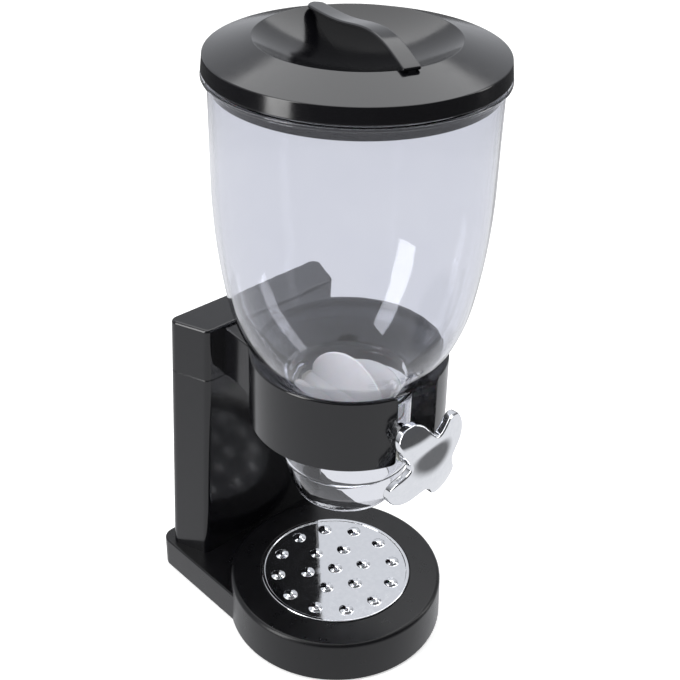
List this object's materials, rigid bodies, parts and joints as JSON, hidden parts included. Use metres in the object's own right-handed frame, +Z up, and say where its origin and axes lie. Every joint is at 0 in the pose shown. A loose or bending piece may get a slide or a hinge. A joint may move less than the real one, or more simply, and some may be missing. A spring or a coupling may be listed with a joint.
{
  "type": "dry food dispenser",
  "caption": "Counter-top rice and dry-food dispenser: clear lidded canister in a collar, turned paddle wheel with lobed knob, outlet over a round base with a lift-out tray.",
  "frame": {"origin": "on the table under the middle of the dispenser's bounding box; the upright dispensing axis through the canister and outlet lies 19.75 mm in front of it, at Y = -0.01975", "axes": "+Z up along the dispensing axis, the knob and outlet side faces -Y, the column stands at +Y, X across"},
  "size_m": [0.16, 0.1994, 0.4062],
  "materials": {
    "black_gloss_plastic": "glossy moulded black",
    "chrome_plated_plastic": "bright chrome plating on plastic",
    "clear_plastic": "clear moulded plastic with a slight violet tint",
    "white_silicone": "soft white silicone rubber",
    "white_nylon": "natural nylon",
    "black_rubber": "matt black rubber",
    "zinc_steel": "zinc-plated steel"
  },
  "bodies": {
    "stand": {"base_shell": "black_gloss_plastic", "rubber_feet": "black_rubber", "column": "black_gloss_plastic", "column_screws": "zinc_steel", "support_arm": "black_gloss_plastic", "arm_screws": "zinc_steel"},
    "tray": {"tray": "chrome_plated_plastic"},
    "canister": {"canister": "clear_plastic", "front_bush": "white_nylon", "rear_bush": "white_nylon"},
    "wheel": {"shaft": "white_nylon", "wheel_hub": "white_nylon", "paddle_wheel": "white_silicone", "seal_washer": "white_silicone", "knob": "chrome_plated_plastic"},
    "lid": {"lid": "black_gloss_plastic", "lid_gasket": "white_silicone"}
  },
  "joints": [
    {"name": "tray_lift", "type": "slide", "parent": "stand", "child": "tray", "axis": [0, 0, 1], "range_m": [0, 0.03]},
    {"name": "canister_lift", "type": "slide", "parent": "stand", "child": "canister", "axis": [0, 0, 1], "range_m": [0, 0.115]},
    {"name": "lid_lift", "type": "slide", "parent": "canister", "child": "lid", "axis": [0, 0, 1], "range_m": [0, 0.04]},
    {"name": "wheel_turn", "type": "hinge", "parent": "canister", "child": "wheel", "pos_m": [0, -0.01975, 0.16594], "axis": [0, -1, 0], "continuous": true}
  ]
}
